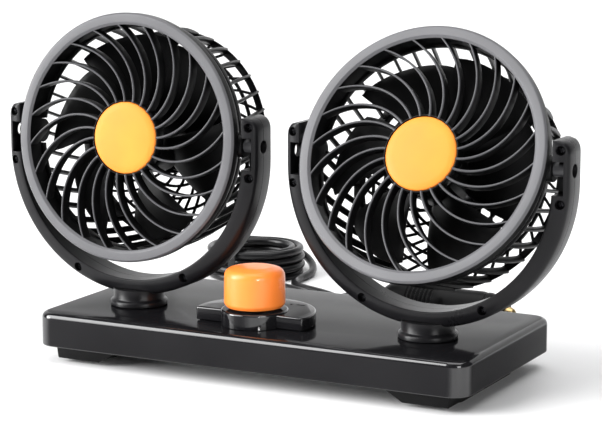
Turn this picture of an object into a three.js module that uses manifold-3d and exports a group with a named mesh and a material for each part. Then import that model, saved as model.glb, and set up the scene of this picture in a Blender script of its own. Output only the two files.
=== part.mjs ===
// Twin-head 12 V vehicle fan: two guarded fan heads tilt in yokes, and the yokes turn on one flat base.
// Millimetres, +X right, +Y back, +Z up. The origin is on the floor under the middle of the base.
import * as THREE from 'three';
import { mergeVertices } from 'three/addons/utils/BufferGeometryUtils.js';
import Module from 'manifold-3d';

const wasm = await Module();
wasm.setup();

// Base
const BASE_W = 218;
const BASE_D = 104;
const BASE_BOTTOM = 8.0;
const BASE_TOP = 23.8;
const BASE_CORNER = 9;
const BASE_EDGE = 2.2;
const BASE_WALL = 2.5;
const FOOT_W = 23;
const FOOT_D = 94;
const FOOT_INSET = 8.5;
const FOOT_SLOPE = 10;
const PAD_H = 1.5;

// Heads: the tilt axis runs along X through each head's origin
const HEAD_SPACING = 150;
const SWIVEL_Y = -14;
const PIVOT_Z = 103.5;
const TILT_LEFT = 6;
const TILT_RIGHT = 23;
const RING_R = 58;
const RING_INNER_R = 52.4;
const RING_FRONT = 12;
const COLLAR_R = 56;
const COLLAR_BACK = 2;
const HUB_R = 17.6;
const CAP_R = 16.7;
const SPOKES = 24;
const SPOKE_SWEEP = THREE.MathUtils.degToRad(33);
const SPOKE_BEND = 1.3;
const SPOKE_W = 1.3;
const SPOKE_FRONT = 11;
const SPOKE_DEPTH = 6;
const BLADES = 6;
const BLADE_R = 48.5;
const ROTOR_HUB_R = 17;
const MOTOR_R = 13.8;
const CAGE_BARS = 36;
const BACK_SPOKES = 12;
const CAGE_BACK = -36.5;
const CAGE_R = 50;
const BAR_LEAN = 0.14;

// Yokes
const YOKE_INNER_R = 60;
const YOKE_OUTER_R = 67.3;
const YOKE_DROP = 6.5;
const YOKE_TOP = 13.5;
const YOKE_HALF = 8.5;
const PIN_R = 3;
const BOSS_R = 5.6;

// Knob and cord
const KNOB_X = -6;
const KNOB_Y = -26;
const KNOB_R = 14;
const PLINTH_R = 28;
const PLINTH_FRONT = -6;
const PLINTH_TOP = 30.3;
const DRUM_R = 15.5;
const DRUM_TOP = 31;
const CORD_R = 2.1;
const COIL_X = -112;
const COIL_Y = 172;
const COIL_R = 22;
const COIL_HALF = 6.9;
const COIL_LOW = 1.4;
const COIL_TOP = 17.4;
const GAP = 0.3;

const FINISHES = {
  blackGloss: { color: 0x2a2a2c, roughness: 0.25, metalness: 0 },
  blackSatin: { color: 0x343437, roughness: 0.5, metalness: 0 },
  blackMatte: { color: 0x1e1e20, roughness: 0.7, metalness: 0 },
  grilleGrey: { color: 0x55555a, roughness: 0.45, metalness: 0 },
  yellow: { color: 0xffd25a, roughness: 0.4, metalness: 0 },
  orange: { color: 0xff9438, roughness: 0.35, metalness: 0 },
  rubber: { color: 0x1a1a1b, roughness: 0.85, metalness: 0 },
  cord: { color: 0x161617, roughness: 0.4, metalness: 0 },
  steel: { color: 0xa9abad, roughness: 0.3, metalness: 0.9 },
  brass: { color: 0xc9a24a, roughness: 0.35, metalness: 0.9 },
  board: { color: 0x2f6b3c, roughness: 0.6, metalness: 0 },
  ceramic: { color: 0xd8d4c8, roughness: 0.8, metalness: 0 },
};

// ---- Shared shapes -------------------------------------------------------------------------------

function bare(geometry) {
  const plain = geometry.clone();
  plain.deleteAttribute('normal');
  plain.deleteAttribute('uv');
  const merged = mergeVertices(plain, 1e-4);
  const index = merged.index.array;
  const kept = [];
  for (let i = 0; i < index.length; i += 3) {
    const [a, b, c] = [index[i], index[i + 1], index[i + 2]];
    if (a !== b && b !== c && c !== a) kept.push(a, b, c);
  }
  merged.setIndex(kept);
  return volumeOf(merged) < 0 ? turnedInsideOut(merged) : merged;
}

function volumeOf(geometry) {
  const p = geometry.attributes.position;
  const index = geometry.index.array;
  const [a, b, c] = [new THREE.Vector3(), new THREE.Vector3(), new THREE.Vector3()];
  let sum = 0;
  for (let i = 0; i < index.length; i += 3) {
    a.fromBufferAttribute(p, index[i]);
    b.fromBufferAttribute(p, index[i + 1]);
    c.fromBufferAttribute(p, index[i + 2]);
    sum += a.dot(b.cross(c)) / 6;
  }
  return sum;
}

function turnedInsideOut(geometry) {
  const index = Array.from(geometry.index.array);
  for (let i = 0; i < index.length; i += 3) [index[i], index[i + 1]] = [index[i + 1], index[i]];
  geometry.setIndex(index);
  return geometry;
}

function solid(geometry) {
  const g = bare(geometry);
  const vertProperties = new Float32Array(g.attributes.position.array);
  const triVerts = new Uint32Array(g.index.array);
  return new wasm.Manifold(new wasm.Mesh({ numProp: 3, vertProperties, triVerts }));
}

function geometryOf(manifold) {
  const mesh = manifold.getMesh();
  const g = new THREE.BufferGeometry();
  g.setAttribute('position', new THREE.BufferAttribute(new Float32Array(mesh.vertProperties), 3));
  g.setIndex(new THREE.BufferAttribute(new Uint32Array(mesh.triVerts), 1));
  return g;
}

function union(...shapes) {
  const [first, ...rest] = shapes.flat().map(solid);
  return geometryOf(rest.reduce((sum, next) => sum.add(next), first));
}

function cut(shape, ...tools) {
  return geometryOf(tools.flat().map(solid).reduce((rest, tool) => rest.subtract(tool), solid(shape)));
}

function lathe(profile, segments) {
  return new THREE.LatheGeometry(profile.map(([r, h]) => new THREE.Vector2(r, h)), segments);
}

// Profile of [radius, height], turned about Z
function latheZ(profile, segments = 32) {
  return lathe(profile, segments).rotateX(Math.PI / 2);
}

// Profile of [radius, distance forward], turned about the head's own axis, which points to -Y
function latheFront(profile, segments = 32) {
  return lathe(profile, segments).rotateZ(Math.PI);
}

// Profile of [radius, distance along +X], turned about X
function latheX(profile, segments = 16) {
  return lathe(profile, segments).rotateZ(-Math.PI / 2);
}

function disc(radius, low, high) {
  return [[0, low], [radius, low], [radius, high], [0, high]];
}

function tube(inner, outer, low, high) {
  return [[inner, low], [outer, low], [outer, high], [inner, high], [inner, low]];
}

function box(x, y, z) {
  const g = new THREE.BoxGeometry(x[1] - x[0], y[1] - y[0], z[1] - z[0]);
  return g.translate((x[0] + x[1]) / 2, (y[0] + y[1]) / 2, (z[0] + z[1]) / 2);
}

function roundedRect(width, depth, radius) {
  const [x, y, r] = [width / 2, depth / 2, radius];
  const shape = new THREE.Shape();
  shape.absarc(x - r, y - r, r, 0, Math.PI / 2);
  shape.absarc(-x + r, y - r, r, Math.PI / 2, Math.PI);
  shape.absarc(-x + r, -y + r, r, Math.PI, Math.PI * 1.5);
  shape.absarc(x - r, -y + r, r, Math.PI * 1.5, Math.PI * 2);
  return shape;
}

function slabZ(shape, low, high, bevel = 0, curveSegments = 4) {
  const options = { depth: high - low - 2 * bevel, curveSegments, bevelEnabled: bevel > 0 };
  Object.assign(options, { bevelSize: bevel, bevelThickness: bevel, bevelOffset: -bevel, bevelSegments: 1 });
  return new THREE.ExtrudeGeometry(shape, options).translate(0, 0, low + bevel);
}

// A shape in the XZ plane, given thickness from one Y to another
function slabY(shape, front, back, bevel = 0, curveSegments = 12) {
  return slabZ(shape, -back, -front, bevel, curveSegments).rotateX(Math.PI / 2);
}

function around(count, make, start = 0) {
  return Array.from({ length: count }, (_, i) => make(start + (i * 2 * Math.PI) / count, i));
}

// A screw on Z: its head rests on height 0 and its shank goes down
function screwZ(headR, headH, shankR, length) {
  return latheZ([[0, -length], [shankR, -length], [shankR, 0], [headR, 0], [headR, headH], [0, headH]], 8);
}

function swept(points, sides, radius, steps) {
  const outline = new THREE.Shape();
  for (let i = 0; i < sides; i += 1) {
    const a = (i * 2 * Math.PI) / sides;
    outline[i ? 'lineTo' : 'moveTo'](radius * Math.cos(a), radius * Math.sin(a));
  }
  const path = new THREE.CatmullRomCurve3(points.map((p) => new THREE.Vector3(...p)), false, 'centripetal');
  return new THREE.ExtrudeGeometry(outline, { steps, extrudePath: path, bevelEnabled: false });
}

function mesh(name, geometry, finish) {
  const g = bare(geometry).toNonIndexed();
  g.computeVertexNormals();
  const part = new THREE.Mesh(g, new THREE.MeshStandardMaterial(FINISHES[finish]));
  part.name = name;
  return part;
}

function group(name, ...parts) {
  const g = new THREE.Group();
  g.name = name;
  g.add(...parts.flat(2));
  return g;
}

// ---- Base ----------------------------------------------------------------------------------------

const SWIVEL_HOLE_R = 6.3;
const BOSS_POINTS = [[-92, -40], [92, -40], [-92, 40], [92, 40]];
const EXIT_X = -36;
const EXIT_Z = 15.75;

function baseCover() {
  const inside = [BASE_W - 2 * BASE_WALL, BASE_D - 2 * BASE_WALL, BASE_CORNER - BASE_WALL];
  const block = slabZ(roundedRect(BASE_W, BASE_D, BASE_CORNER), BASE_BOTTOM - BASE_EDGE, BASE_TOP, BASE_EDGE);
  const below = box([-120, 120], [-60, 60], [0, BASE_BOTTOM]);
  const hollow = slabZ(roundedRect(...inside), 0, BASE_TOP - BASE_WALL);
  const bearings = [-1, 1].map((side) => latheZ(disc(10, 18.6, BASE_TOP - 1), 16)
    .translate((side * HEAD_SPACING) / 2, SWIVEL_Y, 0));
  const bosses = BOSS_POINTS.map(([x, y]) => latheZ(disc(3.5, 10.6, BASE_TOP - 1), 8).translate(x, y, 0));
  const shell = union(cut(block, below, hollow), bearings, bosses);
  const swivels = [-1, 1].map((side) => latheZ(disc(SWIVEL_HOLE_R, 0, 40), 16)
    .translate((side * HEAD_SPACING) / 2, SWIVEL_Y, 0));
  const pilots = BOSS_POINTS.map(([x, y]) => latheZ(disc(1.6, 0, 20), 6).translate(x, y, 0));
  const shaftHole = latheZ(disc(4.3, 0, 40), 16).translate(KNOB_X, KNOB_Y, 0);
  const exit = latheFront(disc(4.3, -60, -40), 16).translate(EXIT_X, 0, EXIT_Z);
  return cut(shell, swivels, pilots, shaftHole, exit);
}

function basePlate() {
  const [w, d] = [BASE_W - 2 * BASE_WALL - 0.8, BASE_D - 2 * BASE_WALL - 0.8];
  const plate = slabZ(roundedRect(w, d, BASE_CORNER - BASE_WALL), BASE_BOTTOM, BASE_BOTTOM + 2.2);
  const holes = BOSS_POINTS.map(([x, y]) => latheZ(disc(1.9, 0, 20), 8).translate(x, y, 0));
  const sinks = BOSS_POINTS.map(([x, y]) => latheZ(disc(3.4, 0, BASE_BOTTOM + 1), 8).translate(x, y, 0));
  const pegHoles = [-1, 1].flatMap((side) => {
    const x = side * (BASE_W / 2 - FOOT_INSET - FOOT_W / 2);
    return [-22, 22].map((y) => latheZ(disc(2.6, 0, 20), 8).translate(x, y, 0));
  });
  return cut(plate, holes, sinks, pegHoles);
}

function baseScrews() {
  return BOSS_POINTS.map(([x, y], i) => {
    const screw = screwZ(2.9, 1, 1.3, 9).rotateX(Math.PI).translate(x, y, BASE_BOTTOM + 0.7);
    return mesh(`base_screw_${i + 1}`, screw, 'steel');
  });
}

// A block with a sloped inner end and two pegs that pass through the plate
function foot(side) {
  const outer = side * (BASE_W / 2 - FOOT_INSET);
  const inner = outer - side * FOOT_W;
  const shape = new THREE.Shape();
  shape.moveTo(outer, PAD_H + GAP);
  shape.lineTo(outer, BASE_BOTTOM - GAP);
  shape.lineTo(inner - side * FOOT_SLOPE, BASE_BOTTOM - GAP);
  shape.lineTo(inner, PAD_H + GAP);
  const block = slabY(shape, -FOOT_D / 2, FOOT_D / 2);
  const middle = side * (BASE_W / 2 - FOOT_INSET - FOOT_W / 2);
  const pegs = [-22, 22].map((y) => latheZ(disc(2.2, 5, 12), 8).translate(middle, y, 0));
  const screwRoom = [-40, 40].map((y) => latheZ(disc(3.6, -1, 20), 8).translate(side * 92, y, 0));
  return cut(union(block, pegs), screwRoom);
}

function footPad(side) {
  const middle = side * (BASE_W / 2 - FOOT_INSET - FOOT_W / 2);
  return slabZ(roundedRect(FOOT_W - 5, 62, 4), 0, PAD_H, 0, 4).translate(middle, 0, 0);
}

// ---- Speed control -------------------------------------------------------------------------------

// A round plate with a straight front, and a short drum that stands out of it under the knob
function plinth() {
  const start = Math.asin(PLINTH_FRONT / PLINTH_R);
  const shape = new THREE.Shape();
  shape.absarc(0, 0, PLINTH_R, start, Math.PI - start);
  const plate = slabZ(shape, 24.1, PLINTH_TOP, 0.6, 20);
  const drum = latheZ([[0, 24.1], [DRUM_R, 24.1], [DRUM_R, DRUM_TOP - 0.5], [DRUM_R - 0.5, DRUM_TOP],
    [0, DRUM_TOP]], 28);
  const bore = latheZ([[0, 20], [9, 20], [9, 28.5], [4.3, 28.5], [4.3, 40], [0, 40]], 16);
  const dash = box([12, 16.4], [17.4, 18.6], [PLINTH_TOP - 0.4, 40]);
  const dot = latheZ(disc(0.7, PLINTH_TOP - 0.4, 40), 8).translate(9.6, 17.6, 0);
  return cut(union(plate, drum), bore, dash, dot).translate(KNOB_X, KNOB_Y, 0);
}

function knob() {
  const low = DRUM_TOP + 1.2;
  const top = low + 18.4;
  const body = latheZ([[0, low + 14], [3.3, low + 14], [3.3, low], [KNOB_R - 0.6, low], [KNOB_R, low + 0.8],
    [KNOB_R - 0.3, top - 4], [KNOB_R - 1.2, top - 1.6], [KNOB_R - 3.4, top - 0.3], [0, top]], 28);
  return body.translate(KNOB_X, KNOB_Y, 0);
}

function switchParts() {
  const at = (g) => g.translate(KNOB_X, KNOB_Y, 0);
  const body = union(box([-10, 10], [-10, 10], [11.4, 21]), latheZ(disc(3.9, 20, 24.4), 16));
  const bored = cut(body, latheZ(disc(3.3, 14, 40), 16));
  const shaft = latheZ(disc(3, 14.5, DRUM_TOP + 14), 16);
  const nut = latheZ(tube(4.7, 7, 24.15, 26.4), 6);
  return [
    mesh('switch_body', at(bored), 'blackMatte'),
    mesh('switch_shaft', at(shaft), 'steel'),
    mesh('switch_nut', at(nut), 'steel'),
  ];
}

function electronics() {
  const board = box([-24, 24], [4, 34], [12.4, 14]);
  const posts = box([-20, -16], [8, 12], [13.5, 19]);
  const chip = box([6, 16], [12, 24], [13.5, 17]);
  const resistor = latheX([[0, 36], [3.2, 36], [3.6, 37.5], [3.6, 58.5], [3.2, 60], [0, 60]], 12);
  return [
    mesh('circuit_board', union(board, posts, chip), 'board'),
    mesh('speed_resistor', resistor.translate(0, 18, 15.4), 'ceramic'),
  ];
}

// ---- Head ----------------------------------------------------------------------------------------

function spokeAngle(radius, start) {
  const t = (radius - HUB_R) / (RING_INNER_R - HUB_R);
  return start + SPOKE_SWEEP * Math.max(0, t) ** SPOKE_BEND;
}

function spoke(start) {
  const stations = [17, 30, 42, 52.8];
  const side = (sign) => stations.map((r) => {
    const a = spokeAngle(r, start) + (sign * SPOKE_W) / 2 / r;
    return new THREE.Vector2(r * Math.cos(a), r * Math.sin(a));
  });
  const shape = new THREE.Shape([...side(-1), ...side(1).reverse()]);
  return slabY(shape, -SPOKE_FRONT, -SPOKE_FRONT + SPOKE_DEPTH);
}

function trunnion(side) {
  const pin = latheX([[0, RING_INNER_R], [BOSS_R, RING_INNER_R], [BOSS_R, 58.4], [PIN_R, 58.4], [PIN_R, 64.4],
    [0, 64.4]], 20);
  return side > 0 ? pin : pin.rotateY(Math.PI);
}

function frontGrille(phase) {
  const ring = latheFront([[RING_INNER_R, COLLAR_BACK], [COLLAR_R, COLLAR_BACK], [COLLAR_R, 5],
    [RING_R, 7.4], [RING_R, 11.2], [57.3, RING_FRONT], [RING_INNER_R, RING_FRONT],
    [RING_INNER_R, COLLAR_BACK]], 36);
  const hub = latheFront([[0, 7], [16.4, 7], [16.4, 5], [HUB_R, 5], [HUB_R, 10.8], [17, 10.8],
    [17, 9], [0, 9]], 20);
  const start = THREE.MathUtils.degToRad(phase);
  return union(ring, hub, around(SPOKES, spoke, start), trunnion(1), trunnion(-1));
}

function grilleCap() {
  return latheFront([[0, 9.3], [CAP_R, 9.3], [CAP_R, 10.6], [16.2, 11.1], [10, 11.6], [0, 11.9]], 24);
}

// One twisted blade as a closed skin between two faces
function blade(start) {
  const radii = [16.2, 28, 41, BLADE_R];
  const chords = [0.96, 0.97, 0.96, 0.86];
  const pitch = [20, 20, 18, 15];
  const across = [-0.5, -0.2, 0.15, 0.5];
  const verts = [];
  for (const half of [0.8, -0.8]) {
    radii.forEach((r, i) => across.forEach((v) => {
      const a = start + chords[i] * v + 0.006 * (r - 16);
      const f = -8 + pitch[i] * v - 3 * (0.25 - v * v) + half;
      verts.push(r * Math.cos(a), -f, r * Math.sin(a));
    }));
  }
  const [rows, cols] = [radii.length, across.length];
  const at = (face, i, j) => face * rows * cols + i * cols + j;
  const index = [];
  const quad = (a, b, c, d) => index.push(a, b, c, a, c, d);
  for (let i = 0; i < rows - 1; i += 1) {
    for (let j = 0; j < cols - 1; j += 1) {
      quad(at(0, i, j), at(0, i, j + 1), at(0, i + 1, j + 1), at(0, i + 1, j));
      quad(at(1, i, j), at(1, i + 1, j), at(1, i + 1, j + 1), at(1, i, j + 1));
    }
    quad(at(0, i, 0), at(0, i + 1, 0), at(1, i + 1, 0), at(1, i, 0));
    quad(at(0, i, cols - 1), at(1, i, cols - 1), at(1, i + 1, cols - 1), at(0, i + 1, cols - 1));
  }
  for (let j = 0; j < cols - 1; j += 1) {
    quad(at(0, 0, j), at(1, 0, j), at(1, 0, j + 1), at(0, 0, j + 1));
    quad(at(0, rows - 1, j), at(0, rows - 1, j + 1), at(1, rows - 1, j + 1), at(1, rows - 1, j));
  }
  const g = new THREE.BufferGeometry();
  g.setAttribute('position', new THREE.Float32BufferAttribute(verts, 3));
  g.setIndex(index);
  return g;
}

function fanRotor(turn) {
  const cup = latheFront([[0, 1.2], [1.5, 1.2], [1.5, -3.4], [3.6, -3.4], [3.6, -1], [15.2, -1],
    [15.2, -17], [ROTOR_HUB_R, -17], [ROTOR_HUB_R, 1.6], [15.8, 3], [0, 3]], 20);
  return union(cup, around(BLADES, blade, THREE.MathUtils.degToRad(turn)));
}

function motor() {
  return latheFront([[0, -31], [1.5, -31], [1.5, -4.6], [4.2, -4.6], [4.2, -6], [12.6, -6],
    [MOTOR_R, -7.2], [MOTOR_R, -32.8], [0, -32.8]], 20);
}

// A point of the head at a radius, an angle about the head's axis and a distance forward
function headPoint(radius, angle, forward) {
  return new THREE.Vector3(radius * Math.cos(angle), -forward, radius * Math.sin(angle));
}

function beam(from, to, width, depth, facing) {
  const along = to.clone().sub(from);
  const length = along.length();
  along.normalize();
  const outward = facing.clone().addScaledVector(along, -facing.dot(along)).normalize();
  const across = outward.clone().cross(along);
  const g = new THREE.BoxGeometry(width, depth, length);
  g.applyMatrix4(new THREE.Matrix4().makeBasis(across, outward, along));
  return g.translate((from.x + to.x) / 2, (from.y + to.y) / 2, (from.z + to.z) / 2);
}

// Guard behind the blades: slanted side bars between two rims, and a spoked back with rings
function rearCage() {
  const rim = latheFront(tube(51.6, COLLAR_R, COLLAR_BACK - 3.4, COLLAR_BACK - GAP), 30);
  const backRim = latheFront([[46.2, CAGE_BACK + 0.4], [49.2, CAGE_BACK + 0.4], [51.4, -33],
    [47.6, -33], [46.2, CAGE_BACK + 0.4]], 30);
  const plate = latheFront([[0, CAGE_BACK], [18, CAGE_BACK], [18, -30.5], [MOTOR_R + GAP, -30.5],
    [MOTOR_R + GAP, -33.2], [0, -33.2]], 20);
  const ring = latheFront(tube(31.2, 33, -36, -34.4), 20);
  const bars = around(CAGE_BARS, (a) => beam(headPoint(53.8, a, COLLAR_BACK - 3),
    headPoint(49.6, a + BAR_LEAN, -34), 1.5, 1.8, headPoint(1, a, 0)));
  const spokes = around(BACK_SPOKES, (a) => beam(headPoint(17, a, -35), headPoint(47.4, a - 0.55, -35),
    1.4, 1.7, new THREE.Vector3(0, 1, 0)));
  const room = [1, -1].map((way) => latheX(disc(BOSS_R + 0.5, 50.4, 60), 20).rotateY(way > 0 ? 0 : Math.PI));
  return cut(union(rim, backRim, plate, ring, bars, spokes), ...room);
}

// Two-core lead from the motor's back, along the guard's inside, to the hollow trunnion
function motorLead(side) {
  const points = [[4, 28.5, -15.2], [14, 30, -16.5], [30, 31, -9], [43, 28, -3], [48.4, 20, 0],
    [50.1, 9, 0], [50.8, 0.5, 0]];
  return swept(points.map(([x, y, z]) => [side * x, y, z]), 6, 0.8, 14);
}

function head(side, suffix, tilt, phase, turn) {
  const rotor = group(`spin${suffix}`, mesh(`fan_rotor${suffix}`, fanRotor(turn), 'blackSatin'),
    mesh(`motor_shaft${suffix}`, latheFront(disc(1.15, -30.6, 0.9), 12), 'steel'));
  const parts = group(`tilt${suffix}`,
    mesh(`front_grille${suffix}`, frontGrille(phase), 'grilleGrey'),
    mesh(`grille_cap${suffix}`, grilleCap(), 'yellow'),
    mesh(`rear_cage${suffix}`, rearCage(), 'blackSatin'),
    mesh(`motor${suffix}`, motor(), 'steel'),
    mesh(`motor_lead${suffix}`, motorLead(-side), 'cord'),
    rotor);
  parts.rotation.x = -THREE.MathUtils.degToRad(tilt);
  return parts;
}

// ---- Yoke ----------------------------------------------------------------------------------------

const YOKE_ANGLES = [-27, 27].map((deg) => THREE.MathUtils.degToRad(deg));
const ARM_MID = (YOKE_INNER_R + YOKE_OUTER_R) / 2;
const YOKE_SCREWS = [
  [-ARM_MID, 9.4], [ARM_MID, 9.4], [-ARM_MID, -13.8], [ARM_MID, -13.8],
  ...YOKE_ANGLES.map((a) => [ARM_MID * Math.sin(a), -YOKE_DROP - ARM_MID * Math.cos(a)]),
];
const NECK_R = 12;
const NECK_TOP = 32 - PIVOT_Z;

function yokeOutline() {
  const shape = new THREE.Shape();
  shape.moveTo(-YOKE_INNER_R, YOKE_TOP);
  shape.lineTo(-YOKE_OUTER_R + 5, YOKE_TOP);
  shape.quadraticCurveTo(-YOKE_OUTER_R, YOKE_TOP, -YOKE_OUTER_R, YOKE_TOP - 6.5);
  shape.lineTo(-YOKE_OUTER_R, -YOKE_DROP);
  shape.absarc(0, -YOKE_DROP, YOKE_OUTER_R, Math.PI, Math.PI * 2);
  shape.lineTo(YOKE_OUTER_R, YOKE_TOP - 6.5);
  shape.quadraticCurveTo(YOKE_OUTER_R, YOKE_TOP, YOKE_OUTER_R - 5, YOKE_TOP);
  shape.lineTo(YOKE_INNER_R, YOKE_TOP);
  shape.lineTo(YOKE_INNER_R, -YOKE_DROP);
  shape.absarc(0, -YOKE_DROP, YOKE_INNER_R, Math.PI * 2, Math.PI, true);
  return shape;
}

function alongY(radius, front, back, [x, z], segments = 12) {
  return latheFront(disc(radius, -back, -front), segments).translate(x, 0, z);
}

function yokeShell(front, back) {
  const shell = slabY(yokeOutline(), front, back, 0, 9);
  const neckRoom = latheZ(disc(NECK_R + GAP, -100, NECK_TOP + GAP), 16);
  const pins = latheX(disc(PIN_R + 0.12, -80, 80), 16);
  const heads = [-1, 1].map((side) => latheX(disc(PIN_R + 0.9, 61.6, 65), 16)
    .rotateY(side > 0 ? 0 : Math.PI));
  return { shell, tools: [neckRoom, pins, ...heads] };
}

function yokeFront() {
  const { shell, tools } = yokeShell(-YOKE_HALF, -0.1);
  const pockets = [[-65, -59], [59, 65]].map((across) => box(across, [-20, 3], [-10, 4.6]));
  const recesses = YOKE_SCREWS.map((at) => alongY(2.1, -20, -4.6, at, 10));
  const holes = YOKE_SCREWS.map((at) => alongY(1.3, -20, 2, at, 6));
  return cut(shell, tools, pockets, recesses, holes);
}

function yokeRear() {
  const { shell, tools } = yokeShell(0.1, YOKE_HALF);
  const pilots = YOKE_SCREWS.map((at) => alongY(1.3, -2, 6.2, at, 6));
  return cut(shell, tools, pilots);
}

function yokeScrews(suffix) {
  return YOKE_SCREWS.map(([x, z], i) => {
    const screw = screwZ(1.75, 1.3, 0.95, 9.5).rotateX(Math.PI / 2).translate(x, -4.9, z);
    return mesh(`yoke_screw${suffix}_${i + 1}`, screw, 'steel');
  });
}

// One screw with a broad washer head holds the neck up against the bearing boss
function swivelScrew() {
  const z = (height) => height - PIVOT_Z;
  return latheZ([[0, z(13.8)], [3, z(13.8)], [3, z(16)], [9, z(16)], [9, z(18)], [1.3, z(18)],
    [1.3, z(27.4)], [0, z(27.4)]], 12);
}

// Turning neck: a stepped collar on the base, a spigot through it and a retaining washer below
function neck() {
  const z = (height) => height - PIVOT_Z;
  const profile = [[0, z(18.3)], [6, z(18.3)], [6, z(24.1)], [13.5, z(24.1)], [13.5, z(26.4)], [12.8, z(27)],
    [NECK_R, z(27)], [NECK_R, NECK_TOP], [0, NECK_TOP]];
  return cut(latheZ(profile, 20), latheZ(disc(1.6, z(0), z(28)), 8));
}

function yoke(side, suffix, tilt, phase, turn) {
  const parts = group(`swivel${suffix}`,
    mesh(`yoke_front${suffix}`, yokeFront(), 'blackSatin'),
    mesh(`yoke_rear${suffix}`, yokeRear(), 'blackSatin'),
    yokeScrews(suffix),
    mesh(`swivel_neck${suffix}`, neck(), 'blackSatin'),
    mesh(`swivel_screw${suffix}`, swivelScrew(), 'steel'),
    head(side, suffix, tilt, phase, turn));
  parts.position.set((side * HEAD_SPACING) / 2, SWIVEL_Y, PIVOT_Z);
  return parts;
}

// ---- Cord, coil and plug -------------------------------------------------------------------------

const PLUG_X = 32;
const PLUG_Y = 100;
const PLUG_R = 10.6;

function strainRelief() {
  const back = BASE_D / 2;
  const profile = [[CORD_R + GAP, back - 4.4], [5.2, back - 4.4], [5.2, back - 2.9], [4, back - 2.9],
    [4, back + GAP], [5.6, back + GAP], [5.6, back + 2], [4.2, back + 2.6], [3.3, back + 16],
    [CORD_R + GAP, back + 16], [CORD_R + GAP, back - 4.4]];
  return lathe(profile, 16).translate(EXIT_X, 0, EXIT_Z);
}

function cordLead() {
  const floor = CORD_R + 0.1;
  const points = [[EXIT_X, 40, EXIT_Z], [EXIT_X, 60, EXIT_Z], [EXIT_X, 70, EXIT_Z - 0.4],
    [EXIT_X - 1, 84, 9], [EXIT_X - 4, 99, floor + 0.6], [EXIT_X - 9, 112, floor],
    [EXIT_X - 15.5, 122.5, floor],
    [EXIT_X - 24, 130.5, floor], [EXIT_X - 34, 136.3, floor], [EXIT_X - 45, 140.5, floor],
    [EXIT_X - 59, 144.2, floor]];
  return swept(points, 8, CORD_R, 20);
}

// The turns of the coil as one ring with rounded edges
function cordCoil() {
  const [inner, outer, edge] = [COIL_R - COIL_HALF, COIL_R + COIL_HALF, 1.6];
  const section = [[inner + edge, COIL_LOW], [outer - edge, COIL_LOW], [outer, COIL_LOW + edge],
    [outer, COIL_TOP - edge], [outer - edge, COIL_TOP], [inner + edge, COIL_TOP],
    [inner, COIL_TOP - edge], [inner, COIL_LOW + edge], [inner + edge, COIL_LOW]];
  return latheZ(section, 24).translate(COIL_X, COIL_Y, 0);
}

function coilTie() {
  const loop = (grow) => [[-COIL_R - COIL_HALF - grow, -COIL_R + COIL_HALF + grow],
    [COIL_LOW - grow, COIL_TOP + grow]];
  const [outerY, outerZ] = loop(GAP + 0.9);
  const [innerY, innerZ] = loop(GAP);
  const strap = cut(box([-2.2, 2.2], outerY, outerZ), box([-4, 4], innerY, innerZ));
  const head = box([-2.6, 2.6], [-COIL_R - 2.5, -COIL_R + 2.5], [COIL_TOP + 0.8, COIL_TOP + 4]);
  return union(strap, head).translate(COIL_X, COIL_Y, 0);
}

function plugParts() {
  const at = (g) => g.rotateZ(-Math.PI / 2).translate(PLUG_X, PLUG_Y, PLUG_R + 0.1);
  const shell = lathe([[CORD_R + GAP, -46], [3.6, -46], [4.4, -34], [7.6, -31], [10, -26], [10.6, -20],
    [10.6, 2], [9.7, 4], [9.7, 22], [9, 24], [6.8, 24], [6.8, -24], [CORD_R + GAP, -24],
    [CORD_R + GAP, -46]], 16);
  const ring = lathe([[4, 24.3], [9.4, 24.3], [9.4, 26], [6.6, 34.5], [4, 34.5], [4, 24.3]], 16);
  const fuse = lathe([[0, -12], [3.2, -12], [3.2, 17.6], [0, 17.6]], 12);
  const tip = lathe([[0, 18], [5.6, 18], [5.6, 21], [3.4, 22], [3.4, 36], [2.2, 38.6], [0, 39.4]], 12);
  return [
    mesh('plug_body', at(shell), 'blackSatin'),
    mesh('plug_nose_ring', at(ring), 'blackSatin'),
    mesh('plug_fuse', at(fuse), 'steel'),
    mesh('plug_tip', at(tip), 'brass'),
  ];
}

function cordTail() {
  const floor = CORD_R + 0.1;
  const axis = PLUG_R + 0.1;
  const points = [[-80.4, 176, floor], [-80.4, 163, floor], [-79, 154.5, floor], [-74.6, 147.2, floor],
    [-67.2, 142, floor], [-58, 138.2, floor], [-48, 133, floor], [-38.5, 125.6, floor + 0.4],
    [PLUG_X - 64, PLUG_Y + 11, axis - 5], [PLUG_X - 58, PLUG_Y + 2.5, axis - 1.2],
    [PLUG_X - 50, PLUG_Y, axis], [PLUG_X - 44, PLUG_Y, axis], [PLUG_X - 34, PLUG_Y, axis],
    [PLUG_X - 25, PLUG_Y, axis]];
  return swept(points, 8, CORD_R, 30);
}

// ---- Whole part ----------------------------------------------------------------------------------

const base = group('base',
  mesh('base_cover', baseCover(), 'blackGloss'),
  mesh('base_plate', basePlate(), 'blackMatte'),
  baseScrews(),
  mesh('foot_left', foot(-1), 'blackSatin'),
  mesh('foot_right', foot(1), 'blackSatin'),
  mesh('foot_pad_left', footPad(-1), 'rubber'),
  mesh('foot_pad_right', footPad(1), 'rubber'),
  mesh('control_plinth', plinth(), 'blackGloss'),
  mesh('knob', knob(), 'orange'),
  switchParts(),
  electronics(),
  mesh('strain_relief', strainRelief(), 'rubber'));

const cord = group('cord',
  mesh('cord_lead', cordLead(), 'cord'),
  mesh('cord_coil', cordCoil(), 'cord'),
  mesh('coil_tie', coilTie(), 'rubber'),
  mesh('cord_tail', cordTail(), 'cord'),
  plugParts());

export default group('vehicle_fan',
  base,
  yoke(-1, '_left', TILT_LEFT, 3.6, 35),
  yoke(1, '_right', TILT_RIGHT, 11.25, 48),
  cord);
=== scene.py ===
import math

import bmesh
import bpy
from mathutils import Matrix, Vector


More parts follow.
